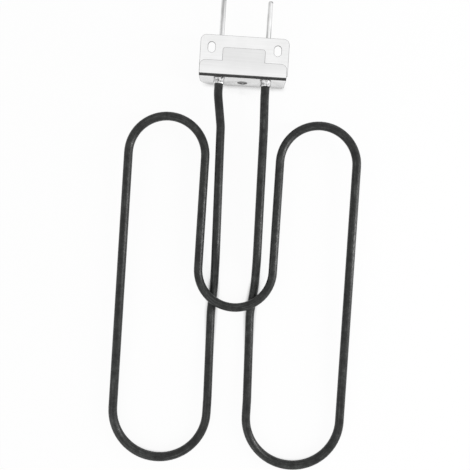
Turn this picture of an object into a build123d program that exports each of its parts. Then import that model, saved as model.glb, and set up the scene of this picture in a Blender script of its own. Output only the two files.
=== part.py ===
"""Tubular heating element: a bent sheath tube with its two plug pins, held in a folded bracket.

Frame, in millimetres: +Y runs along the plug pins, away from the heated loops, +X to the right and
+Z up, away from the surface that the element lies on. The origin is on the loop side of the flange,
midway between the two tube ends, at the height of their axes.
"""

import math
import os

from build123d import *

# Sheath tube
sheath_od = 8.0
sheath_wall = 0.7

# Heated loops: the spacings are centre to centre, the reaches are measured from the flange
outer_leg_spacing = 212.0
middle_leg_spacing = 69.5
inner_leg_spacing = 38.5
bottom_leg_spacing = 37.0
top_bend_reach = 73.5
middle_bend_reach = 176.5
bottom_bend_reach = 311.5
loops_offset = 5.0  # the loops' centre line lies this far right of the pins' centre line

# Leads and the places where an inner leg leaves its line, measured from the flange
lead_spacing = 43.2
lead_straight = 15.0
joggle_reach = 44.0
joggle_spacing = 40.0
joggle_offset = -2.3  # from the loops' centre line, as are the other offsets of the leg pair
joggle_bend_radius = 45.0

# Crossing: the inner legs dip under the middle bend, then rise slowly to the bottom bends
crossing_clearance = 0.6
dip_slope = 24.0
dip_floor_before = 15.4  # floor of the dip on the pin side of the middle bend
dip_floor_after = 12.6
dip_end_offset = -2.2
level_run = 14.5  # level stretch between the end of the rise and the bottom bend

# Tube ends
sheath_end = 18.0  # how far the sheath stands out on the pin side of the flange's loop face
coil_od = 3.2
cold_pin_d = 2.8
cold_pin_depth = 10.0  # how far a cold pin reaches into the loops past the flange
seal_length = 4.0
bushing_spigot = 2.5
bushing_head = 4.0
bushing_chamfer = 0.6

# Plug pins
plug_pin_d = 4.75
plug_pin_tip = 73.0  # from the flange's loop face to the tip
plug_pin_nose = 1.2
socket_depth = 9.0  # blind bore that takes the cold pin
joint_clearance = 0.05  # radial, between a cold pin and what it is fixed in

# Crimp collars
collar_od = 10.4
collar_length = 5.8
collar_spigot_od = 8.9
collar_stand_out = 0.8  # how far the spigot passes the flange on the pin side
collar_chamfer = 0.5
collar_clearance = 0.05  # radial, on the sheath and in the flange's hole

# Folded bracket
bracket_width = 80.0
sheet_thickness = 1.2
bend_inner_radius = 1.3
wall_height = 7.0  # the front wall's face above the tube axes
flange_drop = 20.5  # the flange's edge below the tube axes
flange_round_corner = 10.0
flange_small_corner = 1.5
flange_hole_d = 9.0
flange_hole_drop = 10.2
shoulder_reach = 14.4
shoulder_radius = 5.5
tab_width = 39.0
tab_reach = 26.4
tab_radius = 2.4

# Mounting plate
plate_width = 81.2
plate_thickness = 1.2
plate_start = 3.0
plate_reach = 37.6
plate_shift = 0.4  # the plate sits this far right of the bracket's centre
plate_top_radius = 5.5
plate_bottom_radius = 1.5
slot_spacing = 60.5
slot_width = 6.6
slot_length = 9.6
slot_edge_distance = 11.4  # from the slots' centres to the plate's top edge

# Worked out from the sizes above
sheath_id = sheath_od - 2 * sheath_wall
middle_bend_radius = middle_leg_spacing / 2
crossing_reach = middle_bend_reach + math.sqrt(middle_bend_radius**2 - (inner_leg_spacing / 2) ** 2)
crossing_drop = sheath_od + crossing_clearance
bend_outer_radius = bend_inner_radius + sheet_thickness
seal_end = sheath_end - bushing_spigot
fill_end = seal_end - seal_length
plug_pin_start = sheath_end + bushing_head
cold_pin_end = plug_pin_start + socket_depth
spigot_length = sheet_thickness + collar_stand_out
tube_hole_d = collar_spigot_od + 2 * collar_clearance
plate_face = wall_height - sheet_thickness
shoulder_width = (bracket_width - tab_width) / 2
plate_slot_y = plate_reach - slot_edge_distance

sides = {"left": -1, "right": 1}


def leg_x(side, spacing, offset=0.0):
    """X of one leg of a pair around the loops' centre line."""
    return loops_offset + offset + side * spacing / 2


def inner_leg(side, end):
    """Corners of one inner leg, from its end near the pins down to its bottom bend."""
    lead_x = side * lead_spacing / 2
    leg = leg_x(side, inner_leg_spacing)
    dip_end_x = leg_x(side, bottom_leg_spacing, dip_end_offset)
    bottom = leg_x(side, bottom_leg_spacing)
    return [
        (lead_x, end, 0),
        (lead_x, -lead_straight, 0),
        (leg_x(side, joggle_spacing, joggle_offset), -joggle_reach, 0),
        (leg, dip_floor_before + dip_slope - crossing_reach, 0),
        (leg, dip_floor_before - crossing_reach, -crossing_drop),
        (dip_end_x, -crossing_reach - dip_floor_after, -crossing_drop),
        (bottom, level_run - bottom_bend_reach, 0),
        (bottom, -bottom_bend_reach, 0),
    ]


def u_bend(start_x, end_x, reach, direction):
    """Half circle between two legs; direction is 1 for a bend towards the pins, -1 away from them."""
    radius = abs(end_x - start_x) / 2
    crown = ((start_x + end_x) / 2, -reach + direction * radius)
    return ThreePointArc((start_x, -reach), crown, (end_x, -reach))


def element_route(end):
    """Centre line of the whole tube, from the left lead to the right one; both stop at Y = end."""
    left_leg = inner_leg(-1, end)
    right_leg = inner_leg(1, end)[::-1]
    outer = [leg_x(side, outer_leg_spacing) for side in (-1, 1)]
    middle = [leg_x(side, middle_leg_spacing) for side in (-1, 1)]
    with BuildLine() as route:
        FilletPolyline(left_leg, radius=joggle_bend_radius)
        u_bend(left_leg[-1][0], outer[0], bottom_bend_reach, -1)
        Line((outer[0], -bottom_bend_reach), (outer[0], -top_bend_reach))
        u_bend(outer[0], middle[0], top_bend_reach, 1)
        Line((middle[0], -top_bend_reach), (middle[0], -middle_bend_reach))
        u_bend(middle[0], middle[1], middle_bend_reach, -1)
        Line((middle[1], -middle_bend_reach), (middle[1], -top_bend_reach))
        u_bend(middle[1], outer[1], top_bend_reach, 1)
        Line((outer[1], -top_bend_reach), (outer[1], -bottom_bend_reach))
        u_bend(outer[1], right_leg[0][0], bottom_bend_reach, -1)
        FilletPolyline(right_leg, radius=joggle_bend_radius)
    return route.wire()


def across_lead(side, y):
    """Plane square to a lead at height y along it, facing the pin's tip."""
    return Plane(origin=(side * lead_spacing / 2, y, 0), x_dir=(1, 0, 0), z_dir=(0, 1, 0))


def finish(piece, name):
    """Label a finished piece and write it as its own file."""
    piece.part.label = name
    export_step(piece.part, f"parts/{name}.step")
    print(f"{name}: {piece.part.volume:.1f} mm3")


os.makedirs("parts", exist_ok=True)

# Sheath: one tube swept along the whole route
with BuildPart() as sheath_tube:
    with BuildSketch(across_lead(-1, sheath_end)):
        Circle(sheath_od / 2)
        Circle(sheath_id / 2, mode=Mode.SUBTRACT)
    sweep(path=element_route(sheath_end))
finish(sheath_tube, "sheath_tube")

# Heating coil: the sleeve of space that its turns fill, as one round bar
with BuildPart() as resistance_coil:
    with BuildSketch(across_lead(-1, -cold_pin_depth)):
        Circle(coil_od / 2)
    sweep(path=element_route(-cold_pin_depth))
finish(resistance_coil, "resistance_coil")

# Compacted insulation between the coil or cold pins and the sheath
with BuildPart() as insulation_fill:
    with BuildSketch(across_lead(-1, -cold_pin_depth)):
        Circle(sheath_id / 2)
        Circle(coil_od / 2, mode=Mode.SUBTRACT)
    sweep(path=element_route(-cold_pin_depth))
    for side in sides.values():
        with BuildSketch(across_lead(side, -cold_pin_depth)):
            Circle(sheath_id / 2)
            Circle(cold_pin_d / 2, mode=Mode.SUBTRACT)
        extrude(amount=fill_end + cold_pin_depth)
finish(insulation_fill, "insulation_fill")

for side_name, side in sides.items():
    # Cold pin: from the coil's end, out through the seal and the bushing, into the plug pin
    with BuildPart() as cold_pin:
        with BuildSketch(across_lead(side, -cold_pin_depth)):
            Circle(cold_pin_d / 2)
        extrude(amount=cold_pin_end + cold_pin_depth)
    finish(cold_pin, f"cold_pin_{side_name}")

    # Moisture seal in the tube's mouth, under the bushing
    with BuildPart() as end_seal:
        with BuildSketch(across_lead(side, fill_end)):
            Circle(sheath_id / 2)
            Circle(cold_pin_d / 2, mode=Mode.SUBTRACT)
        extrude(amount=seal_length)
    finish(end_seal, f"end_seal_{side_name}")

    # Ceramic bushing: a spigot in the tube's mouth and a head that seats on its rim
    with BuildPart() as end_bushing:
        with BuildSketch(across_lead(side, seal_end)):
            Circle(sheath_id / 2)
        extrude(amount=bushing_spigot)
        with BuildSketch(across_lead(side, sheath_end)):
            Circle(sheath_od / 2)
        extrude(amount=bushing_head)
        chamfer(end_bushing.edges().group_by(Axis.Y)[-1], bushing_chamfer)
        with BuildSketch(across_lead(side, seal_end)):
            Circle(cold_pin_d / 2 + joint_clearance)
        extrude(amount=bushing_spigot + bushing_head, mode=Mode.SUBTRACT)
    finish(end_bushing, f"end_bushing_{side_name}")

    # Plug pin: a turned pin with a blind bore at its root and a rounded nose
    with BuildPart() as plug_pin:
        with BuildSketch(across_lead(side, plug_pin_start)):
            Circle(plug_pin_d / 2)
        extrude(amount=plug_pin_tip - plug_pin_start)
        fillet(plug_pin.edges().group_by(Axis.Y)[-1], plug_pin_nose)
        with BuildSketch(across_lead(side, plug_pin_start)):
            Circle(cold_pin_d / 2 + joint_clearance)
        extrude(amount=socket_depth, mode=Mode.SUBTRACT)
    finish(plug_pin, f"plug_pin_{side_name}")

    # Crimp collar: a body against the flange and a spigot through it
    with BuildPart() as crimp_collar:
        with BuildSketch(across_lead(side, -collar_length)):
            Circle(collar_od / 2)
        extrude(amount=collar_length)
        chamfer(crimp_collar.edges().group_by(Axis.Y)[0], collar_chamfer)
        with BuildSketch(across_lead(side, 0)):
            Circle(collar_spigot_od / 2)
        extrude(amount=spigot_length)
        with BuildSketch(across_lead(side, -collar_length)):
            Circle(sheath_od / 2 + collar_clearance)
        extrude(amount=collar_length + spigot_length, mode=Mode.SUBTRACT)
    finish(crimp_collar, f"crimp_collar_{side_name}")

# Bracket: one sheet folded along X into the flange, the bend and the front wall
with BuildPart() as flange_bracket:
    with BuildSketch(Plane.YZ):
        with BuildLine():
            outside = FilletPolyline(
                (0, -flange_drop), (0, wall_height), (tab_reach, wall_height), radius=bend_outer_radius
            )
            inside = FilletPolyline(
                (sheet_thickness, -flange_drop),
                (sheet_thickness, plate_face),
                (tab_reach, plate_face),
                radius=bend_inner_radius,
            )
            Line(outside @ 0, inside @ 0)
            Line(outside @ 1, inside @ 1)
        make_face()
    extrude(amount=bracket_width / 2, both=True)
    # Front wall: cut the shoulders back from the tab
    with BuildSketch(Plane.XY.offset(plate_face)):
        for side in sides.values():
            with Locations((side * (tab_width + shoulder_width) / 2, (shoulder_reach + tab_reach) / 2)):
                Rectangle(shoulder_width, tab_reach - shoulder_reach)
    extrude(amount=sheet_thickness, mode=Mode.SUBTRACT)
    upright_edges = flange_bracket.edges().filter_by(Axis.Z)
    wall_corners = upright_edges.filter_by_position(Axis.Z, plate_face, wall_height)
    fillet(wall_corners.group_by(Axis.Y)[-1], tab_radius)
    upright_edges = flange_bracket.edges().filter_by(Axis.Z)
    wall_corners = upright_edges.filter_by_position(Axis.Z, plate_face, wall_height).sort_by(Axis.X)
    fillet([wall_corners[0], wall_corners[-1]], shoulder_radius)
    # Flange: one large and one small corner, two tube holes and the centre hole
    flange_corners = flange_bracket.edges().filter_by(Axis.Y).group_by(Axis.Z)[0].sort_by(Axis.X)
    fillet(flange_corners[0], flange_round_corner)
    fillet(flange_corners[-1], flange_small_corner)
    with BuildSketch(Plane.XZ):
        with Locations((-lead_spacing / 2, 0), (lead_spacing / 2, 0)):
            Circle(tube_hole_d / 2)
        with Locations((0, -flange_hole_drop)):
            Circle(flange_hole_d / 2)
    extrude(amount=-sheet_thickness, mode=Mode.SUBTRACT)
finish(flange_bracket, "flange_bracket")

# Mounting plate: lies against the back of the front wall
with BuildPart() as mounting_plate:
    with BuildSketch(Plane.XY.offset(plate_face - plate_thickness)) as plate_outline:
        with Locations((plate_shift, (plate_start + plate_reach) / 2)):
            Rectangle(plate_width, plate_reach - plate_start)
        fillet(plate_outline.vertices().group_by(Axis.Y)[-1], plate_top_radius)
        fillet(plate_outline.vertices().group_by(Axis.Y)[0], plate_bottom_radius)
        for side in sides.values():
            with Locations((plate_shift + side * slot_spacing / 2, plate_slot_y)):
                SlotOverall(slot_length, slot_width, rotation=90, mode=Mode.SUBTRACT)
    extrude(amount=plate_thickness)
finish(mounting_plate, "mounting_plate")
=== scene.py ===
"""Looks of the tubular heating element: materials, edge detail, light and camera around the CAD frame.

Lengths are in metres, in the CAD frame: +Y along the plug pins, +X right, +Z towards the camera.
"""

import math

import bmesh
import bpy
import numpy as np
from mathutils import Euler, Matrix, Vector


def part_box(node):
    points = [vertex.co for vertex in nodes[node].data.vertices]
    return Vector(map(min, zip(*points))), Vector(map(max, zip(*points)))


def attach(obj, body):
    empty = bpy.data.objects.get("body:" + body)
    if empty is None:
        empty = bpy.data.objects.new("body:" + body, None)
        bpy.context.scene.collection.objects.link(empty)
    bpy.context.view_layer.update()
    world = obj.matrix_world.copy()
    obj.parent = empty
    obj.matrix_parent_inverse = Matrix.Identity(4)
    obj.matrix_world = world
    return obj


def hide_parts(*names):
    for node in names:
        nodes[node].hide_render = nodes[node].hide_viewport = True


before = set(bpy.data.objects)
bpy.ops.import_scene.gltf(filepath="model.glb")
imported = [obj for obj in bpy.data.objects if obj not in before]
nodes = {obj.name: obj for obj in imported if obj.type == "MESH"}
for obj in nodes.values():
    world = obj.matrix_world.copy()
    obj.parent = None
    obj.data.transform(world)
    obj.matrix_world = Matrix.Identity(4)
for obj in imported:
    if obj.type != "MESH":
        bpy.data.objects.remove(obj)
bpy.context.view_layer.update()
MM = 0.001
SIDES = ("left", "right")

# Camera: aim, turn and focal length fit the tube's centre line in the photo; the distance is assumed
IMAGE_PIXELS = 470
FOCAL_PIXELS = 484.3
SENSOR_WIDTH = 36.0
CLIP_START = 0.01
CAMERA_AIM = Vector((2.46, -143.77, 0.0)) * MM
CAMERA_DISTANCE = 450 * MM
CAMERA_TURN = Euler((math.radians(-0.81), math.radians(-0.13), math.radians(3.70)), "ZXY")

# Edges and faces of the sheet pieces
SHEET_BEVEL = 0.33 * MM
BEVEL_SEGMENTS = 3
SHARP_ANGLE = math.radians(35)
FLAT_ANGLE = math.radians(0.5)
WELD_DISTANCE = 0.002 * MM
FACING = 0.98  # a face whose normal is this near an axis lies flat across it
FOLD_LOW = 0.25  # a face on the outside of the fold leans this much both up and forward
FACE_MATERIAL, EDGE_MATERIAL, FOLD_MATERIAL = range(3)

# Crimp collars: a dented body in front of the flange and a plain spigot through it
SHEATH_RADIUS = (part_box("end_bushing_left")[1].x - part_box("end_bushing_left")[0].x) / 2
SPIGOT_RADIUS = 4.45 * MM
FLANGE_FACE = 0.0
COLLAR_SEGMENTS = 96
COLLAR_RINGS = 28
COLLAR_CLEARANCE = 0.05 * MM
CRIMP_DENTS = 6
CRIMP_DEPTH = 0.34 * MM
LIP_SHARE = 0.16
LIP_DROP = 0.55 * MM

# Painted shade on the sheet: its far end and its foot are coloured darker than the rest
FAR_SHADE_SPAN = (5 * MM, 15 * MM)
FOOT_SHADE_SPAN = (0 * MM, 5 * MM)

# Marks: where they lie, how far they reach and how much they darken. A tip mark's place is given
# from the far corner of its pin's box
# The sheath's two dark spots, both on the left inner leg: the first near the bracket, the second painted
# shade where the middle U passes over the leg
SHEATH_DARK_SPOTS = (
    (Vector((-21.5, -24.0, 3.0)) * MM, 9 * MM, 0.7),
    (Vector((-14.3, -160.0, 3.0)) * MM, 26 * MM, 0.6),
)
TIP_MARK_INSET = Vector((1.2, 0.4, 0.9)) * MM
TIP_MARK_RADIUS = 2.4 * MM
TIP_MARK_DEPTH = 0.95

# Noise textures lie mostly between these two values
NOISE_LOW, NOISE_HIGH = 0.3, 0.7

# Colours of the sheath's oxide
OXIDE_DARK = (0.017, 0.019, 0.018)
OXIDE_PALE = (0.073, 0.077, 0.074)

# Floor: it glows where the camera sees it, less where the part touches or covers it, which is painted shade
FLOOR_SIZE = 8.0
FLOOR_COLOUR = (0.4, 0.4, 0.4, 1.0)
FLOOR_ROUGHNESS = 0.9
FLOOR_GLOW = 0.85
FLOOR_WHITE = 1.1
CONTACT_REACH = 4 * MM
CONTACT_DEPTH = 0.8
COVER_REACH = 40 * MM
COVER_DARK, COVER_LIGHT = 0.22, 0.42
BEHIND_FLANGE = 20 * MM  # besides its flange, the part rests on a place farther along the legs than this

# Light: the sky over the part, from its horizon up, and two lamps
WHITE = (1.0, 1.0, 1.0, 1.0)
DOME_FROM, DOME_TO = 0.0, 0.85
DOME_LOW, DOME_HIGH = 0.08, 0.80
LAMP_AIM = Vector((5, -150, 0)) * MM
KEY_PLACE, KEY_SIZE, KEY_WATTS = (0.95, -0.15, 0.34), (0.12, 1.2), 8.0
FILL_PLACE, FILL_SIZE, FILL_WATTS = (-0.55, -1.0, 0.85), (0.6, 0.6), 1.6
KEY_SPARES = ("bracket", "plate")  # from behind, the key's glare would burn these out to white


def shader(name):
    """A new material with its node tree and its Principled shader."""
    material = bpy.data.materials.new(name)
    material.use_nodes = True
    tree = material.node_tree
    return material, tree, tree.nodes["Principled BSDF"]


def wire(tree, principled, colour, roughness, metallic):
    """Feeds a colour and a roughness to the shader and sets how metallic it is."""
    tree.links.new(colour, principled.inputs["Base Color"])
    tree.links.new(roughness, principled.inputs["Roughness"])
    principled.inputs["Metallic"].default_value = metallic


def bump(tree, principled, height, distance):
    """Relief from a height output, in metres at full height."""
    node = tree.nodes.new("ShaderNodeBump")
    node.inputs["Distance"].default_value = distance
    node.inputs["Strength"].default_value = 1.0
    tree.links.new(height, node.inputs["Height"])
    tree.links.new(node.outputs["Normal"], principled.inputs["Normal"])


def math_node(tree, operation, *values):
    """One math node; each value is a number or an output."""
    node = tree.nodes.new("ShaderNodeMath")
    node.operation = operation
    for socket, value in zip(node.inputs, values):
        if isinstance(value, (int, float)):
            socket.default_value = value
        else:
            tree.links.new(value, socket)
    return node.outputs[0]


def multiplied(tree, first, second, amount=1.0):
    """The first colour multiplied by the second, as far as the amount says."""
    node = tree.nodes.new("ShaderNodeMix")
    node.data_type = "RGBA"
    node.blend_type = "MULTIPLY"
    factor, a, b = (socket for socket in node.inputs if socket.enabled)
    factor.default_value = amount
    tree.links.new(first, a)
    tree.links.new(second, b)
    return next(socket for socket in node.outputs if socket.enabled)


def remap(tree, value, start, end, low=0.0, high=1.0, interpolation="LINEAR"):
    """A value carried from start and end to low and high, and held beyond them."""
    node = tree.nodes.new("ShaderNodeMapRange")
    node.interpolation_type = interpolation
    for socket, number in (("From Min", start), ("From Max", end), ("To Min", low), ("To Max", high)):
        node.inputs[socket].default_value = number
    tree.links.new(value, node.inputs["Value"])
    return node.outputs["Result"]


def coordinate(tree, kind, axis):
    """One axis of the object's own place or normal, or of the direction in the world."""
    source = tree.nodes.new("ShaderNodeTexCoord")
    split = tree.nodes.new("ShaderNodeSeparateXYZ")
    tree.links.new(source.outputs[kind], split.inputs[0])
    return split.outputs[axis]


def noise(tree, scale, detail=3.0, stretch=(1.0, 1.0, 1.0)):
    """Noise over the object's own space; stretch under 1 draws it out along that axis."""
    coordinates = tree.nodes.new("ShaderNodeTexCoord")
    mapping = tree.nodes.new("ShaderNodeMapping")
    mapping.inputs["Scale"].default_value = stretch
    texture = tree.nodes.new("ShaderNodeTexNoise")
    texture.inputs["Scale"].default_value = scale
    texture.inputs["Detail"].default_value = detail
    tree.links.new(coordinates.outputs["Object"], mapping.inputs["Vector"])
    tree.links.new(mapping.outputs["Vector"], texture.inputs["Vector"])
    return texture.outputs[0]


def tube_lines(tree, lines, drift):
    """Noise drawn out along the tube: quick round its section, slow along its run."""
    around = math_node(tree, "ARCCOSINE", coordinate(tree, "Normal", "Z"))
    vector = tree.nodes.new("ShaderNodeCombineXYZ")
    tree.links.new(math_node(tree, "MULTIPLY", around, lines), vector.inputs["X"])
    for axis, socket in (("X", "Y"), ("Y", "Z")):
        drifted = math_node(tree, "MULTIPLY", coordinate(tree, "Object", axis), drift)
        tree.links.new(drifted, vector.inputs[socket])
    texture = tree.nodes.new("ShaderNodeTexNoise")
    texture.inputs["Scale"].default_value = 1.0
    tree.links.new(vector.outputs[0], texture.inputs["Vector"])
    return texture.outputs[0]


def ramp(tree, value, *stops):
    """Colour ramp through (place, colour or grey level) stops."""
    node = tree.nodes.new("ShaderNodeValToRGB")
    elements = node.color_ramp.elements
    while len(elements) < len(stops):
        elements.new(0.5)
    for element, (place, tone) in zip(elements, stops):
        colour = tone if isinstance(tone, tuple) else (tone, tone, tone)
        element.position = place
        element.color = (*colour, 1.0)
    tree.links.new(value, node.inputs["Fac"])
    return node.outputs["Color"]


def clouds(tree, low, high, **pattern):
    """A tone or colour that drifts between low and high in a noise pattern."""
    return ramp(tree, noise(tree, **pattern), (NOISE_LOW, low), (NOISE_HIGH, high))


def darkened_round(tree, colour, place, radius, depth):
    """A colour darkened round a place on the object, most at the place itself."""
    coordinates = tree.nodes.new("ShaderNodeTexCoord")
    distance = tree.nodes.new("ShaderNodeVectorMath")
    distance.operation = "DISTANCE"
    distance.inputs[1].default_value = place
    tree.links.new(coordinates.outputs["Object"], distance.inputs[0])
    mark = remap(tree, distance.outputs["Value"], 0.0, radius, 1.0, 0.0, "SMOOTHSTEP")
    clear = math_node(tree, "SUBTRACT", 1.0, math_node(tree, "MULTIPLY", mark, depth))
    return multiplied(tree, colour, clear)


def seen_rays(tree):
    """1 for what the camera sees, straight or in metal and glass."""
    path = tree.nodes.new("ShaderNodeLightPath")
    shown = math_node(tree, "MAXIMUM", path.outputs["Is Camera Ray"], path.outputs["Is Glossy Ray"])
    return math_node(tree, "MAXIMUM", shown, path.outputs["Is Transmission Ray"])


def black_oxide():
    """Sheath: a dark baked oxide, blotched and finely grained, with streaks along the tube that are partly
    painted highlight, and two dark spots, the second of them painted shade.
    """
    material, tree, principled = shader("black_oxide")
    patches = noise(tree, scale=170.0, detail=4.0)
    blotches = ramp(tree, patches, (0.34, OXIDE_DARK), (0.66, OXIDE_PALE))
    grain = ramp(tree, noise(tree, scale=650.0, detail=4.0), (0.34, 0.35), (0.64, 1.0))
    # Streaks along the tube: partly its drawing lines, partly painted highlight for the sheen lines on its
    # bends
    drawn = tube_lines(tree, lines=3.6, drift=30.0)
    streaks_and_sheen = ramp(tree, drawn, (0.38, 0.24), (0.52, 0.42), (0.66, 1.0))
    colour = multiplied(tree, blotches, grain, amount=0.8)
    colour = multiplied(tree, colour, streaks_and_sheen, amount=0.9)
    # darkens the sheath at its two spots, the second as painted shade
    for mark in SHEATH_DARK_SPOTS:
        colour = darkened_round(tree, colour, *mark)
    gloss = ramp(tree, noise(tree, scale=300.0, detail=4.0), (0.32, 0.28), (0.66, 0.46))
    wire(tree, principled, colour, gloss, metallic=0.0)
    principled.inputs["Specular IOR Level"].default_value = 0.33
    bump(tree, principled, noise(tree, scale=700.0, detail=4.0), 0.04 * MM)
    return material


def satin_sheet(name, low, high, roughness, far_shade=1.0, foot_shade=1.0):
    """Bright sheet metal with faint rolling lines along X, a cloudy tone, and painted shade that darkens its
    far end and foot.
    """
    material, tree, principled = shader(name)
    tone = clouds(tree, low, high, scale=40.0)
    lines = clouds(tree, 0.95, 1.0, scale=900.0, stretch=(0.03, 1.0, 1.0))
    far = remap(tree, coordinate(tree, "Object", "Y"), *FAR_SHADE_SPAN)
    height = remap(tree, coordinate(tree, "Object", "Z"), *FOOT_SHADE_SPAN)
    # Painted shade: darker towards the far end and at the foot
    far_end = ramp(tree, far, (0.0, 1.0), (1.0, far_shade))
    foot = ramp(tree, height, (0.0, foot_shade), (1.0, 1.0))
    colour = multiplied(tree, tone, lines)
    colour = multiplied(tree, colour, far_end)
    colour = multiplied(tree, colour, foot)
    rough = clouds(tree, roughness - 0.05, roughness + 0.06, scale=220.0, detail=4.0)
    wire(tree, principled, colour, rough, metallic=1.0)
    bump(tree, principled, noise(tree, scale=1500.0, stretch=(0.05, 1.0, 1.0)), 0.004 * MM)
    return material


def cut_edge(name, low, high):
    """Sheared edge or fold of the sheet, darker than its faces: on cut edges duller metal with painted shade
    for their outlines, on the fold painted shade.
    """
    material, tree, principled = shader(name)
    tone = clouds(tree, low, high, scale=500.0, detail=4.0)
    rough = clouds(tree, 0.5, 0.65, scale=300.0)
    wire(tree, principled, tone, rough, metallic=0.85)
    bump(tree, principled, noise(tree, scale=2400.0, stretch=(1.0, 1.0, 0.2)), 0.012 * MM)
    return material


def crimped_metal():
    """Collars: steel pressed onto the tube, patchy and finely grained."""
    material, tree, principled = shader("crimped_metal")
    blotches = noise(tree, scale=420.0, detail=4.0)
    patches = ramp(tree, blotches, (0.34, 0.16), (0.47, 0.60), (0.62, 0.95))
    grain = clouds(tree, 0.8, 1.0, scale=1600.0)
    rough = clouds(tree, 0.24, 0.42, scale=600.0)
    wire(tree, principled, multiplied(tree, patches, grain), rough, metallic=1.0)
    bump(tree, principled, noise(tree, scale=700.0, detail=4.0), 0.05 * MM)
    return material


def plated_pin():
    """Plug pins: plated steel with fine drawing marks along the pin and a dark mark at each nose."""
    material, tree, principled = shader("plated_pin")
    tone = clouds(tree, 0.80, 0.96, scale=150.0, detail=4.0)
    marks = noise(tree, scale=520.0, stretch=(1.0, 0.04, 1.0))
    drawn = ramp(tree, marks, (0.36, 0.50), (0.60, 1.0))
    colour = multiplied(tree, tone, drawn)
    for side in SIDES:
        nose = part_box(f"plug_pin_{side}")[1] - TIP_MARK_INSET
        colour = darkened_round(tree, colour, nose, TIP_MARK_RADIUS, TIP_MARK_DEPTH)
    rough = clouds(tree, 0.26, 0.38, scale=260.0)
    wire(tree, principled, colour, rough, metallic=1.0)
    scratches = noise(tree, scale=1800.0, detail=2.0, stretch=(1.0, 0.03, 1.0))
    bump(tree, principled, scratches, 0.004 * MM)
    return material


def matt(name, low, high, scale, roughness, metallic=0.0, relief=0.02 * MM):
    """Plain matt stuff with a cloudy tone: ceramic, powder, silicone or bare wire."""
    material, tree, principled = shader(name)
    tone = clouds(tree, low, high, scale=scale, detail=5.0)
    rough = clouds(tree, roughness - 0.08, roughness + 0.08, scale=scale)
    wire(tree, principled, tone, rough, metallic)
    bump(tree, principled, noise(tree, scale=4 * scale), relief)
    return material


def dress(node, material):
    """Gives a CAD node its material."""
    mesh = nodes[node].data
    mesh.materials.clear()
    mesh.materials.append(material)


def clean_copy(node):
    """A CAD node's shape as a bmesh, welded and with its flat faces whole again."""
    shape = bmesh.new()
    shape.from_mesh(nodes[node].data)
    bmesh.ops.remove_doubles(shape, verts=shape.verts, dist=WELD_DISTANCE)
    bmesh.ops.dissolve_limit(
        shape, angle_limit=FLAT_ANGLE, verts=shape.verts, edges=shape.edges, delimit={"NORMAL"}
    )
    return shape


def add_piece(name, shape, materials, node):
    """Puts a bmesh into the scene as the piece that stands for a CAD node."""
    mesh = bpy.data.meshes.new(name)
    shape.to_mesh(mesh)
    shape.free()
    for material in materials:
        mesh.materials.append(material)
    piece = bpy.data.objects.new(name, mesh)
    bpy.context.scene.collection.objects.link(piece)
    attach(piece, "root")
    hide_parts(node)


def on_fold(face):
    """Whether a bracket face lies on the outside of the fold."""
    return face.normal.z > FOLD_LOW and face.normal.y < -FOLD_LOW and abs(face.normal.x) < FOLD_LOW


def sheet_piece(name, node, materials, is_fold=None):
    """A folded or flat sheet with rounded blanking edges; its cut edges are darker, partly as painted shade,
    and its fold carries painted shade.
    """
    shape = clean_copy(node)
    edges = [e for e in shape.edges if e.calc_face_angle(0.0) > SHARP_ANGLE]
    bmesh.ops.bevel(
        shape, geom=edges, offset=SHEET_BEVEL, segments=BEVEL_SEGMENTS, profile=0.5, affect="EDGES"
    )
    shape.normal_update()
    for face in shape.faces:
        face.smooth = True
        across = max(abs(face.normal.y), abs(face.normal.z)) > FACING
        # the outside of the fold takes the painted shade
        if is_fold and is_fold(face):
            face.material_index = FOLD_MATERIAL
        else:
            face.material_index = FACE_MATERIAL if across else EDGE_MATERIAL
    add_piece(name, shape, materials, node)


def collar_profile(low, high):
    """Each ring of a collar as (y, radius, dent): mouth, dented body with rolled lips, spigot, bore."""
    outer = (high.x - low.x) / 2
    bore = SHEATH_RADIUS + COLLAR_CLEARANCE
    profile = [(low.y, bore, 0.0)]
    for i in range(COLLAR_RINGS + 1):
        t = i / COLLAR_RINGS
        lip = min(min(t, 1 - t) / LIP_SHARE, 1.0)
        drop = LIP_DROP * (1 - math.sqrt(1 - (1 - lip) ** 2))
        dent = CRIMP_DEPTH * math.sin(math.pi * t) ** 2
        profile.append((low.y + t * (FLANGE_FACE - low.y), outer - drop, dent))
    profile += [(FLANGE_FACE, SPIGOT_RADIUS, 0.0), (high.y, SPIGOT_RADIUS, 0.0), (high.y, bore, 0.0)]
    return profile


def collar_piece(side, material):
    """A crimp collar pressed onto the tube: a ring with dents round its waist and a rolled lip."""
    node = f"crimp_collar_{side}"
    low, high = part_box(node)
    centre_x = (low.x + high.x) / 2
    shape = bmesh.new()
    rings = []
    for y, radius, dent in collar_profile(low, high):
        ring = []
        for i in range(COLLAR_SEGMENTS):
            angle = 2 * math.pi * i / COLLAR_SEGMENTS
            r = radius - dent * max(0.0, math.cos(CRIMP_DENTS * angle)) ** 2
            ring.append(shape.verts.new((centre_x + r * math.cos(angle), y, r * math.sin(angle))))
        rings.append(ring)
    for lower, upper in zip(rings, rings[1:] + rings[:1]):
        for i in range(COLLAR_SEGMENTS):
            j = (i + 1) % COLLAR_SEGMENTS
            shape.faces.new((lower[i], upper[i], upper[j], lower[j]))
    bmesh.ops.recalc_face_normals(shape, faces=shape.faces)
    for face in shape.faces:
        face.smooth = True
    add_piece(f"collar_{side}", shape, [material], node)


def resting_floor():
    """A point of the surface that the part comes to rest on, at the flange's edge, and its slope."""
    edge_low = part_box("flange_bracket")[0]
    mesh = nodes["sheath_tube"].data
    points = np.empty(len(mesh.vertices) * 3, np.float32)
    mesh.vertices.foreach_get("co", points)
    points = points.reshape(-1, 3)
    behind = points[points[:, 1] < edge_low.y - BEHIND_FLANGE]
    slope = ((behind[:, 2] - edge_low.z) / (edge_low.y - behind[:, 1])).min()
    return Vector((0.0, edge_low.y, edge_low.z)), float(slope)


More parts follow.
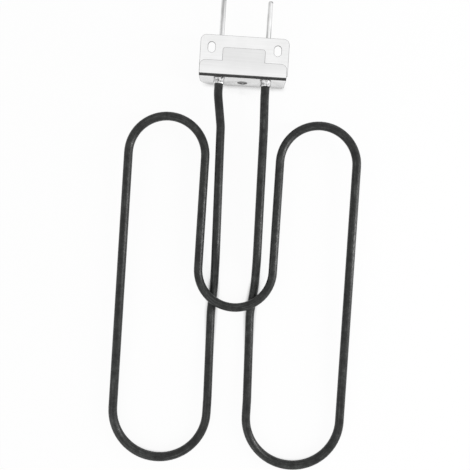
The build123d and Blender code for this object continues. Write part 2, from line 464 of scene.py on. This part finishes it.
def floor_material():
    """Pale floor that the camera sees as white, darker where the part touches or covers it: painted shade
    from ambient occlusion.
    """
    material, tree, principled = shader("floor")
    principled.inputs["Base Color"].default_value = FLOOR_COLOUR
    principled.inputs["Roughness"].default_value = FLOOR_ROUGHNESS
    glow = tree.nodes.new("ShaderNodeEmission")
    glow.inputs["Strength"].default_value = FLOOR_WHITE
    mixed = tree.nodes.new("ShaderNodeMixShader")
    touching = tree.nodes.new("ShaderNodeAmbientOcclusion")
    touching.inputs["Distance"].default_value = CONTACT_REACH
    covered = tree.nodes.new("ShaderNodeAmbientOcclusion")
    covered.inputs["Distance"].default_value = COVER_REACH
    open_sky = ramp(tree, covered.outputs["AO"], (COVER_DARK, 0.0), (COVER_LIGHT, 1.0))
    untouched = math_node(tree, "POWER", touching.outputs["AO"], CONTACT_DEPTH)
    glow_share = math_node(tree, "MULTIPLY", math_node(tree, "MULTIPLY", open_sky, untouched), FLOOR_GLOW)
    tree.links.new(math_node(tree, "MULTIPLY", seen_rays(tree), glow_share), mixed.inputs["Fac"])
    tree.links.new(principled.outputs[0], mixed.inputs[1])
    tree.links.new(glow.outputs[0], mixed.inputs[2])
    tree.links.new(mixed.outputs[0], tree.nodes["Material Output"].inputs["Surface"])
    return material


def floor():
    """Floor under the flange's edge and the dips of the inner legs, sloped as the part lies."""
    contact, slope = resting_floor()
    mesh = bpy.data.meshes.new("floor")
    half = FLOOR_SIZE / 2
    corners = [(-half, -half), (half, -half), (half, half), (-half, half)]
    mesh.from_pydata([(x, y, contact.z - slope * (y - contact.y)) for x, y in corners], [], [(0, 1, 2, 3)])
    mesh.materials.append(floor_material())
    surface = bpy.data.objects.new("floor", mesh)
    bpy.context.scene.collection.objects.link(surface)


def surroundings():
    """White surroundings where they are seen or mirrored, dimmer as soft light on the part."""
    world = bpy.data.worlds.new("studio")
    bpy.context.scene.world = world
    world.use_nodes = True
    tree = world.node_tree
    background = tree.nodes["Background"]
    background.inputs["Color"].default_value = WHITE
    rise = coordinate(tree, "Generated", "Z")
    dome = remap(tree, rise, DOME_FROM, DOME_TO, DOME_LOW, DOME_HIGH, "SMOOTHSTEP")
    strength = math_node(tree, "MAXIMUM", seen_rays(tree), dome)
    tree.links.new(strength, background.inputs["Strength"])


def softbox(name, place, size, watts):
    """A rectangular soft lamp, aimed at the middle of the part."""
    data = bpy.data.lights.new(name, "AREA")
    data.shape = "RECTANGLE"
    data.size, data.size_y = size
    data.energy = watts
    lamp = bpy.data.objects.new(name, data)
    lamp.location = place
    lamp.rotation_euler = (LAMP_AIM - Vector(place)).to_track_quat("-Z", "Y").to_euler()
    bpy.context.scene.collection.objects.link(lamp)
    return lamp


def keep_off(lamp, names):
    """Keeps a lamp's light off the named pieces, which the other light still reaches."""
    spared = bpy.data.collections.new(lamp.name + "_spared")
    for name in names:
        spared.objects.link(bpy.data.objects[name])
    for member in spared.collection_objects:
        member.light_linking.link_state = "EXCLUDE"
    lamp.light_linking.receiver_collection = spared


def photo_camera():
    """Camera that looks nearly straight down, as the photo's does."""
    data = bpy.data.cameras.new("camera")
    data.sensor_width = SENSOR_WIDTH
    data.lens = SENSOR_WIDTH * FOCAL_PIXELS / IMAGE_PIXELS
    data.clip_start = CLIP_START
    camera = bpy.data.objects.new("camera", data)
    turn = CAMERA_TURN.to_matrix().to_4x4()
    camera.matrix_world = Matrix.Translation(CAMERA_AIM) @ turn @ Matrix.Translation((0, 0, CAMERA_DISTANCE))
    bpy.context.scene.collection.objects.link(camera)
    bpy.context.scene.camera = camera


oxide = black_oxide()
collar_metal = crimped_metal()
pin_metal = plated_pin()
# The bracket's far end and foot are darkened as painted shade
bracket_sheet = satin_sheet("bracket_sheet", 0.90, 0.96, roughness=0.34, far_shade=0.885, foot_shade=0.86)
plate_sheet = satin_sheet("plate_sheet", 0.90, 0.96, roughness=0.34)
# Cut edges: duller metal, and darker still as painted shade for the thin outlines round the sheets
bracket_edge = cut_edge("bracket_edge", 0.20, 0.32)
plate_edge = cut_edge("plate_edge", 0.20, 0.34)
# Painted shade: the outside of the fold is coloured near black for the dark line along it
fold_shade = cut_edge("fold_shade", 0.045, 0.075)
ceramic = matt("ceramic", (0.80, 0.77, 0.70), (0.90, 0.88, 0.82), scale=300.0, roughness=0.6)
magnesia = matt("magnesia", (0.78, 0.76, 0.70), (0.88, 0.86, 0.81), scale=500.0, roughness=0.85)
silicone = matt("silicone", (0.50, 0.16, 0.11), (0.62, 0.23, 0.16), scale=200.0, roughness=0.55)
bare_steel = matt("bare_steel", 0.42, 0.56, scale=260.0, roughness=0.38, metallic=1.0, relief=0.008 * MM)
coil_wire = matt(
    "coil_wire", (0.34, 0.32, 0.29), (0.46, 0.44, 0.40), scale=900.0, roughness=0.45, metallic=1.0
)

dress("sheath_tube", oxide)
dress("insulation_fill", magnesia)
dress("resistance_coil", coil_wire)
for side in SIDES:
    dress(f"cold_pin_{side}", bare_steel)
    dress(f"end_seal_{side}", silicone)
    dress(f"end_bushing_{side}", ceramic)
    dress(f"plug_pin_{side}", pin_metal)
    collar_piece(side, collar_metal)
sheet_piece("bracket", "flange_bracket", [bracket_sheet, bracket_edge, fold_shade], on_fold)
sheet_piece("plate", "mounting_plate", [plate_sheet, plate_edge])

floor()
surroundings()
key = softbox("key_right", KEY_PLACE, KEY_SIZE, KEY_WATTS)
keep_off(key, KEY_SPARES)
softbox("front_left", FILL_PLACE, FILL_SIZE, FILL_WATTS)
photo_camera()
bpy.context.scene.view_settings.view_transform = "Standard"
